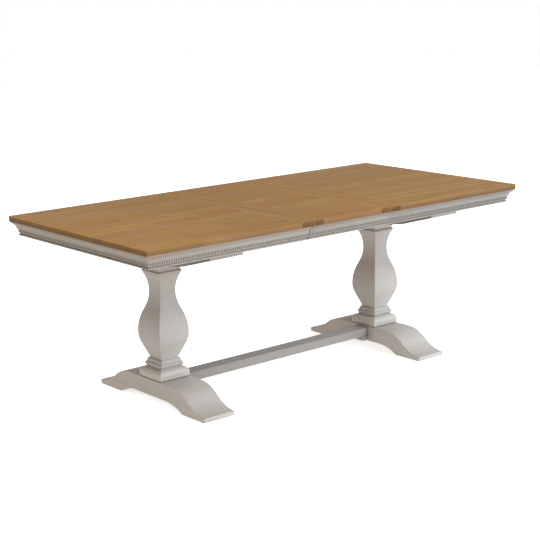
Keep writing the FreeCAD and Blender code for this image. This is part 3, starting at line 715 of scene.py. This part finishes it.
# %% Paint finish
# Painted light and shade for each kind of piece.
piece_light_tones = {"baluster": 1.0, "bearer": 0.9, "foot": 1.14, "plinth": 1.2, "stretcher": 0.68,
               "stretcher_cleat": 0.9}
brush_axes = {"baluster": "z", "bearer": "y", "foot": "y", "plinth": "y", "stretcher": "x",
              "stretcher_cleat": "y"}
paint_sheen = 0.2
bristle_relief = 0.4
under_grain_relief = 0.6
paint_relief_strength = 0.12
paint_relief_depth = 0.3 * millimetre


def paint_finish(name, axis, light_tone=1.0, on_cornice=False):
    """Brushed paint whose brush marks run along one axis, in a painted tone of light and shade."""
    material, tree, shader = new_finish(name)
    place = split_place(tree, axis)
    along, across, height = place
    table_x = along if axis == "x" else across
    bristles = grain_noise(tree, place, bristle_pattern)
    grain = grain_noise(tree, place, under_grain_pattern)
    clouds = grain_noise(tree, place, cloud_pattern)
    highlight_breakup = grain_noise(tree, place, highlight_breakup_pattern)
    colour = brushed_colour(tree, clouds, grain, bristles, highlight_breakup)
    colour = painted_seam_shade(tree, colour, table_x, height)
    # Painted shade where a piece marks a hollow or a shaded side.
    in_painted_shade = tinted(colour, hollow_shade_tone)
    colour = blend_colours(attribute_of(tree, painted_shade_attribute), colour, in_painted_shade)
    # Painted light and shade for the kind of piece.
    colour = tinted(colour, (light_tone, light_tone, light_tone, 1.0))
    if on_cornice:
        colour = shaded_cornice(colour, table_x, height)
    connect(colour, shader.inputs["Base Color"])
    connect(between(clouds, *satin_range), shader.inputs["Roughness"])
    shader.inputs["Specular IOR Level"].default_value = paint_sheen
    relief = plus(times(bristles, bristle_relief), times(grain, under_grain_relief))
    set_relief(tree, shader, relief, paint_relief_strength, paint_relief_depth)
    return material


paint = {kind: paint_finish("paint_" + kind, brush_axes[kind], piece_light_tones[kind]) for kind in piece_light_tones}
cornice_paint = {axis: paint_finish("cornice_paint_" + axis, axis, on_cornice=True) for axis in "xy"}
print("paints:", len(paint) + len(cornice_paint))

# %% [markdown]
# ## The plain finishes
# Out of sight the joiner leaves the wood bare, planed and unstained. The steel is zinc
# plated, which dries in pale flakes. The glides under the feet are black plastic.

# %% Bare hardwood
hardwood_light = (0.60, 0.43, 0.26, 1.0)
hardwood_dark = (0.44, 0.28, 0.15, 1.0)
hardwood_pattern = (3.0, 110.0, 4.0, 0.6)
hardwood_distortion = 0.4
hardwood_range = (0.35, 0.75)
hardwood_roughness_range = (0.3, 0.7, 0.58, 0.72)
hardwood_relief_strength = 0.3
hardwood_relief_depth = 0.3 * millimetre


def hardwood_finish(name, axis):
    """Planed, unfinished wood with its grain along one axis."""
    material, tree, shader = new_finish(name)
    grain = grain_noise(tree, split_place(tree, axis), hardwood_pattern, distortion=hardwood_distortion)
    colour = blend_colours(between(grain, *hardwood_range), hardwood_light, hardwood_dark)
    connect(colour, shader.inputs["Base Color"])
    connect(between(grain, *hardwood_roughness_range), shader.inputs["Roughness"])
    set_relief(tree, shader, grain, hardwood_relief_strength, hardwood_relief_depth)
    return material


hardwood = {axis: hardwood_finish("bare_hardwood_" + axis, axis) for axis in "xy"}
print("bare hardwoods:", len(hardwood))

# %% [markdown]
# Zinc and plastic differ only in their numbers: two colours, the size of the flakes or
# the scuffs between them, how rough they are, and whether they are metal.

# %% Zinc and plastic


def speckled_finish(name, colours, speck, colour_range, roughness_range, metal=0.0):
    """A finish of two colours in small random specks. A speck holds the size, the detail
    and the roughness of the pattern."""
    material, tree, shader = new_finish(name)
    specks = noise(tree, vector_of(tree, *split_place(tree, "x")), *speck)
    colour = blend_colours(between(specks, *colour_range), *colours)
    connect(colour, shader.inputs["Base Color"])
    connect(between(specks, *roughness_range), shader.inputs["Roughness"])
    shader.inputs["Metallic"].default_value = metal
    return material


zinc_colours = ((0.48, 0.50, 0.53, 1.0), (0.66, 0.68, 0.70, 1.0))
plastic_colours = ((0.030, 0.029, 0.028, 1.0), (0.085, 0.083, 0.080, 1.0))
zinc = speckled_finish("zinc_plate", zinc_colours, speck=(420.0, 3.0, 0.6), colour_range=(0.35, 0.7),
                       roughness_range=(0.3, 0.7, 0.28, 0.44), metal=1.0)
plastic = speckled_finish("black_plastic", plastic_colours, speck=(260.0, 4.0, 0.65),
                          colour_range=(0.5, 0.8), roughness_range=(0.3, 0.8, 0.40, 0.62))
print("plain finishes:", zinc.name, "and", plastic.name)

# %% [markdown]
# ## Which piece gets which finish
# The grain of a piece runs along its longest side, and so do its brush marks. On the
# cornice and the bare wood that side is measured on the piece itself; the other painted
# pieces have it listed, and the oak goes by the name of its piece.

# %% Finish by piece
slot_of = {row["node"]: row["material_slot"] for row in frame["record"]["subparts"]}


def long_axis(name, axes="xyz"):
    """The axis along which a node is longest."""
    low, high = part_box(name)
    spans = dict(zip("xyz", high - low))
    return max(axes, key=lambda axis: spans[axis])


def finish_of(name):
    """The material for one node of the construction."""
    kind = slot_of[name]
    if kind == "oiled_oak":
        at_seam = "inner_breadboard" in name or "leaf" in name and "breadboard" in name
        return oak_crossways if at_seam else oak_lengthways
    if kind == "greige_paint" and ("apron" in name or "dentils" in name):
        return cornice_paint[long_axis(name, "xy")]
    if kind == "greige_paint":
        return paint[max((word for word in paint if name.endswith(word)), key=len)]
    if kind == "plain_hardwood":
        return hardwood["x" if "pegs" in name else long_axis(name, "xy")]
    return plastic if kind == "glide_plastic" else zinc


for name, cad_object in nodes.items():
    cad_object.data.materials.clear()
    cad_object.data.materials.append(finish_of(name))
print("finishes:", len(bpy.data.materials))

# %% [markdown]
# ## Soft arrises on the painted pieces
# A cutter leaves a moulding with crisp edges, but sanding and three coats of paint round
# them over, and that thin round is what catches the light. Each painted piece is copied,
# its loose triangles are joined and its flat faces cleaned, and a Bevel modifier rounds
# every edge that turns by more than a set angle. Curved stretches turn by less at each
# step, so they stay as they are and only get smooth shading. How sharply an edge turns
# is then kept on its points, for the painted highlight on the arrises.

# %% Helpers for a finished mesh
crease_angle = math.radians(28)


def flatten_result(piece):
    """Swap a piece's mesh for the result of its modifiers, and remove them."""
    graph = bpy.context.evaluated_depsgraph_get()
    baked = bpy.data.meshes.new_from_object(piece.evaluated_get(graph))
    piece.modifiers.clear()
    piece.data = baked
    return piece


def mark_arrises(mesh):
    """Keep on every point how sharply its outward edges turn, between 0 and 1. Edges that
    turn by less than half the crease angle count as curved, not sharp."""
    shape = bmesh.new()
    shape.from_mesh(mesh)
    sharpest = [0.0] * len(shape.verts)
    for edge in shape.edges:
        if len(edge.link_faces) == 2 and edge.is_convex:
            turn = min(max(2 * edge.calc_face_angle(0.0) / crease_angle - 1.0, 0.0), 1.0)
            for point in edge.verts:
                sharpest[point.index] = max(sharpest[point.index], turn)
    shape.free()
    attribute = mesh.attributes.new(arris_attribute, "FLOAT", "POINT")
    attribute.data.foreach_set("value", sharpest)


def stand_for(piece, node_name):
    """Let a finished piece take a node's place, on the same body."""
    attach(piece, nodes[node_name]["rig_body"])
    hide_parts(node_name)
    return piece


# %% [markdown]
# Two kinds of piece get the last of their shape here, while their points are loose. A
# cross bearer is a little deeper at its ends and fuller under its taper than it is drawn,
# and its long sides, out of the light, carry painted shade. The cornice draws in towards
# its foot along a quarter of a sine, so its top stays put and its lowest step comes in
# furthest.

# %% Shape the cross bearers and the cornice
bearer_end_drop = 6.0 * millimetre
bearer_end_split = 0.695
bearer_bend_place = 0.26
bearer_bend_drop = 13.0 * millimetre
bearer_bend_split = 0.66
# Painted shade on the long sides of a bearer.
bearer_side_shade = 0.7
side_facing = 0.7
end_margin = 1.0 * millimetre
bend_margin = 0.1 * millimetre
cornice_sweep = 8.0 * millimetre
cornice_sweep_top = 0.744
cornice_sweep_foot = 0.718
cornice_face_reach = 38.0 * millimetre


def lower_ends(shape, node_name):
    """Make a cross bearer's ends a little deeper, and its tapered underside a little full."""
    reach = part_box(node_name)[1].y - end_margin
    for side in (bearer_bend_place, -bearer_bend_place):
        everything = list(shape.verts) + list(shape.edges) + list(shape.faces)
        bmesh.ops.bisect_plane(shape, geom=everything, plane_co=(0, side, 0), plane_no=(0, 1, 0))
    for point in shape.verts:
        at_bend = abs(abs(point.co.y) - bearer_bend_place) < bend_margin
        if abs(point.co.y) > reach and point.co.z < bearer_end_split:
            point.co.z -= bearer_end_drop
        if at_bend and point.co.z < bearer_bend_split:
            point.co.z -= bearer_bend_drop


def mark_sides(mesh):
    """Mark the long sides of a cross bearer, which carry painted shade, at their corners."""
    side_shade = [0.0] * len(mesh.loops)
    for polygon in mesh.polygons:
        if abs(polygon.normal.x) > side_facing:
            for corner in polygon.loop_indices:
                side_shade[corner] = bearer_side_shade
    attribute = mesh.attributes.new(painted_shade_attribute, "FLOAT", "CORNER")
    attribute.data.foreach_set("value", side_shade)


def sweep_of(height):
    """How far the cornice steps back at a height, on top of its drawn profile."""
    share = (cornice_sweep_top - height) / (cornice_sweep_top - cornice_sweep_foot)
    share = min(max(share, 0.0), 1.0)
    return cornice_sweep * math.sin(share * math.pi / 2)


def sweep_back(shape):
    """Lean the outer face of a cornice piece inwards towards its foot."""
    for point in shape.verts:
        for axis in (0, 1):
            inset = cad_high[axis] - abs(point.co[axis])
            if inset < cornice_face_reach:
                point.co[axis] -= math.copysign(sweep_of(point.co.z), point.co[axis])


print("the cornice draws in by, in millimetres:", round(sweep_of(cornice_foot) / millimetre, 1))

# %% [markdown]
# The rounds are those of a hand-sanded piece: about a millimetre and a half on the feet,
# the bearers and the stretcher, about one on the plinths and the balusters, and half of
# that on the cornice, whose steps are only a few millimetres wide.

# %% Soften the base and the cornice
soft_rounds = {"foot": 1.6, "plinth": 1.2, "baluster": 0.9, "bearer": 1.6, "stretcher": 1.6,
               "stretcher_cleat": 1.2, "apron": 0.55}
round_steps = 2
merge_distance = 0.01 * millimetre
flat_angle = math.radians(0.4)
shading_angle = math.radians(40)


def clean_copy(node_name):
    """A node's mesh with its triangles joined, its flat faces whole and its shape final."""
    mesh = nodes[node_name].data.copy()
    shape = bmesh.new()
    shape.from_mesh(mesh)
    bmesh.ops.remove_doubles(shape, verts=shape.verts, dist=merge_distance)
    bmesh.ops.dissolve_limit(shape, angle_limit=flat_angle, verts=shape.verts, edges=shape.edges)
    if node_name.endswith("bearer"):
        lower_ends(shape, node_name)
    if node_name.endswith("apron"):
        sweep_back(shape)
    shape.to_mesh(mesh)
    shape.free()
    return mesh


def softened(node_name, piece_name, round_width):
    """A painted piece with rounded arrises, standing for one node."""
    piece = new_object(piece_name, clean_copy(node_name))
    rounding = piece.modifiers.new("rounding", "BEVEL")
    rounding.width = round_width
    rounding.segments = round_steps
    rounding.limit_method = "ANGLE"
    rounding.angle_limit = crease_angle
    rounding.use_clamp_overlap = False
    rounding.miter_outer = "MITER_ARC"
    flatten_result(piece)
    mark_arrises(piece.data)
    for polygon in piece.data.polygons:
        polygon.use_smooth = True
    piece.data.set_sharp_from_angle(angle=shading_angle)
    if node_name.endswith("bearer"):
        mark_sides(piece.data)
    return stand_for(piece, node_name)


softened_count = 0
for node_name in nodes:
    kinds = [kind for kind in soft_rounds if node_name.endswith(kind)]
    if kinds and slot_of[node_name] == "greige_paint":
        softened(node_name, "painted_" + node_name, soft_rounds[max(kinds, key=len)] * millimetre)
        softened_count += 1
print("softened pieces:", softened_count)

# %% [markdown]
# ## The dentil rows
# Under the cornice's cove runs a row of small square teeth between a plain fascia and a
# narrow ledge, one every eleven millimetres all round the table. Cutting them one by one
# would be slow and could not be changed later. Geometry Nodes copy one tooth along a line
# instead: the pitch, the slot, the heights and the strip behind the teeth are inputs of
# the tree. First come short words for the few nodes that the tree needs.

# %% Short words for geometry


def new_geometry_tree(name, numbers):
    """A tree with a geometry output and named number inputs, then a material input."""
    tree = bpy.data.node_groups.new(name, "GeometryNodeTree")
    tree.interface.new_socket("Geometry", in_out="OUTPUT", socket_type="NodeSocketGeometry")
    for label, kind in numbers:
        tree.interface.new_socket(label, in_out="INPUT", socket_type=kind)
    tree.interface.new_socket("Finish", in_out="INPUT", socket_type="NodeSocketMaterial")
    return tree


def half_of(value):
    return times(value, 0.5)


def block(tree, width, depth, height):
    """A box of a given size, centred on the origin."""
    made = add(tree, "GeometryNodeMeshCube", {"Size": vector_of(tree, width, depth, height)})
    return made.outputs["Mesh"]


def moved(tree, shape, x, y, z):
    made = add(tree, "GeometryNodeTransform",
               {"Geometry": shape, "Translation": vector_of(tree, x, y, z)})
    return made.outputs[0]


def copies_on_line(tree, shape, count, first_x, step_x, y, z):
    """Copies of a shape in a row along X."""
    line = add(tree, "GeometryNodeMeshLine",
               {"Count": count, "Start Location": vector_of(tree, first_x, y, z),
                "Offset": vector_of(tree, step_x, 0.0, 0.0)}).outputs[0]
    return add(tree, "GeometryNodeInstanceOnPoints", {"Points": line, "Instance": shape}).outputs[0]


def in_painted_shade(tree, shape):
    """The same shape, carrying the number that the paint reads as painted shade."""
    made = add(tree, "GeometryNodeStoreNamedAttribute",
               {"Geometry": shape, "Name": painted_shade_attribute, "Value": 1.0},
               data_type="FLOAT", domain="POINT")
    return made.outputs[0]


def finish_tree(tree, shapes, material):
    """End a tree: join the shapes, make them real and give them their finish."""
    joined = tree.nodes.new("GeometryNodeJoinGeometry")
    for shape in shapes:
        tree.links.new(shape, joined.inputs[0])
    real = add(tree, "GeometryNodeRealizeInstances", {0: joined.outputs[0]}).outputs[0]
    finished = add(tree, "GeometryNodeSetMaterial", {0: real, "Material": material}).outputs[0]
    tree.links.new(finished, tree.nodes.new("NodeGroupOutput").inputs[0])
    return tree


# %% [markdown]
# The tree lays one row along X, facing -Y, centred on the origin. The slots are evenly
# spaced, and what is left of the run at each end becomes a block. Behind the teeth stands
# the strip that closes the slots: it lies in a hollow, and its paint carries painted shade.

# %% Dentil tree


def tooth_row(tree, given, tooth_z):
    """The evenly spaced teeth and the two blocks that end their row."""
    teeth = minus(given["Slots"], 1.0)
    tooth_width = minus(given["Pitch"], given["Slot"])
    tooth_y = times(given["Web"], -0.5)
    tooth_span = times(teeth, given["Pitch"])
    first = times(minus(tooth_span, given["Pitch"]), -0.5)
    tooth = block(tree, tooth_width, given["Depth"], given["Tooth Height"])
    row = copies_on_line(tree, tooth, teeth, first, given["Pitch"], tooth_y, tooth_z)
    end_width = half_of(minus(given["Run"], plus(tooth_span, given["Slot"])))
    end_place = half_of(minus(given["Run"], end_width))
    end_tooth = block(tree, end_width, given["Depth"], given["Tooth Height"])
    ends = copies_on_line(tree, end_tooth, 2, times(end_place, -1.0), times(end_place, 2.0),
                          tooth_y, tooth_z)
    return [row, ends]


def dentil_tree():
    """A row of teeth between a fascia and a ledge, with a strip behind them."""
    numbers = [("Slots", "NodeSocketInt")]
    labels = ("Pitch", "Slot", "Depth", "Height", "Tooth Height", "Ledge Height", "Run", "Web")
    numbers += [(label, "NodeSocketFloat") for label in labels]
    tree = new_geometry_tree("dentil_row", numbers)
    given = tree.nodes.new("NodeGroupInput").outputs
    fascia_height = minus(minus(given["Height"], given["Tooth Height"]),
                          given["Ledge Height"])
    tooth_z = half_of(minus(given["Ledge Height"], fascia_height))
    strip = moved(tree, block(tree, given["Run"], given["Web"], given["Tooth Height"]), 0.0,
                  half_of(given["Depth"]), tooth_z)
    whole_depth = plus(given["Depth"], given["Web"])
    fascia = moved(tree, block(tree, given["Run"], whole_depth, fascia_height), 0.0, 0.0,
                   half_of(minus(given["Height"], fascia_height)))
    ledge = moved(tree, block(tree, given["Run"], whole_depth, given["Ledge Height"]), 0.0, 0.0,
                  half_of(minus(given["Ledge Height"], given["Height"])))
    # The strip behind the teeth carries painted shade.
    shapes = tooth_row(tree, given, tooth_z) + [in_painted_shade(tree, strip), fascia, ledge]
    return finish_tree(tree, shapes, given["Finish"])


dentils = dentil_tree()
print("nodes in the dentil tree:", len(dentils.nodes))

# %% [markdown]
# Each strip in the construction says where its row lies: its box gives the run, the
# depth and the height, and which way is outwards. The row steps back with the cornice,
# is made along X and is turned to its side in the mesh, so that the finished object stays
# unturned at the origin. A light bevel rounds the teeth as paint does.

# %% Make the dentil rows
dentil_pitch = 11.0 * millimetre
dentil_slot = 4.1 * millimetre
dentil_web = 1.5 * millimetre
dentil_height = 9.0 * millimetre
dentil_ledge = 3.0 * millimetre
dentil_end = 4.5 * millimetre
dentil_round = 0.4 * millimetre
leaf_margin = 10.0 * millimetre
leaf_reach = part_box("leaf_front_apron")[1].x + leaf_margin


def set_input(modifier, label, value):
    """Set one named input of a tree through its socket's identifier."""
    for item in modifier.node_group.interface.items_tree:
        if item.item_type == "SOCKET" and item.in_out == "INPUT" and item.name == label:
            modifier[item.identifier] = value


def row_on_table(node_name):
    """Where one row lies: its middle, its run, its reach outwards and its turn."""
    low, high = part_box(node_name)
    middle = (low + high) / 2
    span = high - low
    step_back = sweep_of(middle.z)
    if "end" in node_name:
        middle.x -= math.copysign(step_back, middle.x)
        return middle, span.y - 2 * span.x - 2 * step_back, span.x, 90 if middle.x > 0 else -90
    run = span.x
    middle.y -= math.copysign(step_back, middle.y)
    if high.x > leaf_reach or low.x < -leaf_reach:
        middle.x -= math.copysign(step_back / 2, middle.x)
        run -= step_back
    return middle, run, span.y, 180 if middle.y > 0 else 0


def dentil_row(node_name):
    """One row of teeth in place of one strip."""
    middle, run, reach, outward = row_on_table(node_name)
    low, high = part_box(node_name)
    slots = int((run - dentil_slot - 2 * dentil_end) / dentil_pitch) + 1
    piece = new_object("teeth_" + node_name, bpy.data.meshes.new("teeth_" + node_name))
    modifier = piece.modifiers.new("row", "NODES")
    modifier.node_group = dentils
    values = {"Slots": slots, "Pitch": dentil_pitch, "Slot": dentil_slot, "Depth": reach - dentil_web,
              "Height": high.z - low.z, "Tooth Height": dentil_height, "Ledge Height": dentil_ledge,
              "Run": run, "Web": dentil_web, "Finish": finish_of(node_name)}
    for label, value in values.items():
        set_input(modifier, label, value)
    rounding = piece.modifiers.new("rounding", "BEVEL")
    rounding.width = dentil_round
    rounding.segments = 1
    flatten_result(piece)
    piece.data.transform(Matrix.Translation(middle) @ Matrix.Rotation(math.radians(outward), 4, "Z"))
    mark_arrises(piece.data)
    return stand_for(piece, node_name)


tooth_faces = 0
for node_name in nodes:
    if node_name.endswith("dentils"):
        tooth_faces += len(dentil_row(node_name).data.polygons)
print("faces in the dentil rows:", tooth_faces)

# %% [markdown]
# ## The studio
# The picture is a cut-out on white in soft light. A broad pale floor under a bright even
# surround gives the white, and the floor glows a little, so that it lights the feet and
# the undersides as a white studio sweep does. One large, slightly blue soft lamp stands
# at the right front and lights the long side; the short side is about a third darker.

# %% Floor
floor_reach = 14.0
floor_glow = 0.55
floor_roughness = 0.9
floor_haze = (0.6, 2.0)
floor_colours = ((0.97, 0.97, 0.97, 1.0), (0.99, 0.99, 0.99, 1.0))
white = (1.0, 1.0, 1.0, 1.0)


def floor_finish():
    """A nearly white surface with a faint haze, which glows."""
    material, tree, shader = new_finish("pale_floor")
    haze = noise(tree, vector_of(tree, *split_place(tree, "x")), *floor_haze)
    connect(blend_colours(haze, *floor_colours), shader.inputs["Base Color"])
    shader.inputs["Roughness"].default_value = floor_roughness
    shader.inputs["Emission Color"].default_value = white
    shader.inputs["Emission Strength"].default_value = floor_glow
    return material


def pale_floor():
    """The floor: one wide flat sheet at height nought."""
    mesh = bpy.data.meshes.new("floor")
    shape = bmesh.new()
    bmesh.ops.create_grid(shape, x_segments=2, y_segments=2, size=floor_reach)
    shape.to_mesh(mesh)
    shape.free()
    mesh.materials.append(floor_finish())
    floor = new_object("floor", mesh)
    floor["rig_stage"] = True


pale_floor()
print("the floor reaches, in metres:", floor_reach)

# %% [markdown]
# The lamp is placed by two points, where it stands and what it faces. Its power, its size
# and its colour were set against the light and dark sides of the balusters. The plain
# view of colours keeps white paper white.

# %% Surround and lamp
surround_strength = 1.0
lamp_place = Vector((2.4, -4.4, 3.4))
lamp_target = Vector((0.0, 0.0, 0.4))
lamp_size = 3.0
lamp_power = 590
lamp_colour = (0.66, 0.80, 1.0)


def soft_lamp():
    """A square soft lamp that faces a point."""
    lamp_data = bpy.data.lights.new("key", "AREA")
    lamp_data.size = lamp_size
    lamp_data.energy = lamp_power
    lamp_data.color = lamp_colour
    lamp = new_object("key", lamp_data)
    lamp.location = lamp_place
    lamp.rotation_euler = (lamp_target - lamp_place).to_track_quat("-Z", "Y").to_euler()


soft_lamp()
world = bpy.data.worlds.new("surround")
world.use_nodes = True
surround = world.node_tree.nodes["Background"]
surround.inputs["Color"].default_value = white
surround.inputs["Strength"].default_value = surround_strength
bpy.context.scene.world = world
bpy.context.scene.view_settings.view_transform = "Standard"
print("lamp in metres from what it faces:", round((lamp_target - lamp_place).length, 2))

# %% [markdown]
# ## How far the dressed table outgrows the construction
# The box of the dressed table is measured against the construction's, and the largest
# outgrowth is printed. Both boxes go to a small file, so
# that they can be compared after each picture.

# %% Measure the outgrowth
seen_low, seen_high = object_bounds()
outgrowth = max(max(cad_low - seen_low), max(seen_high - cad_high))
print("largest outgrowth in millimetres:", round(outgrowth / millimetre, 3))
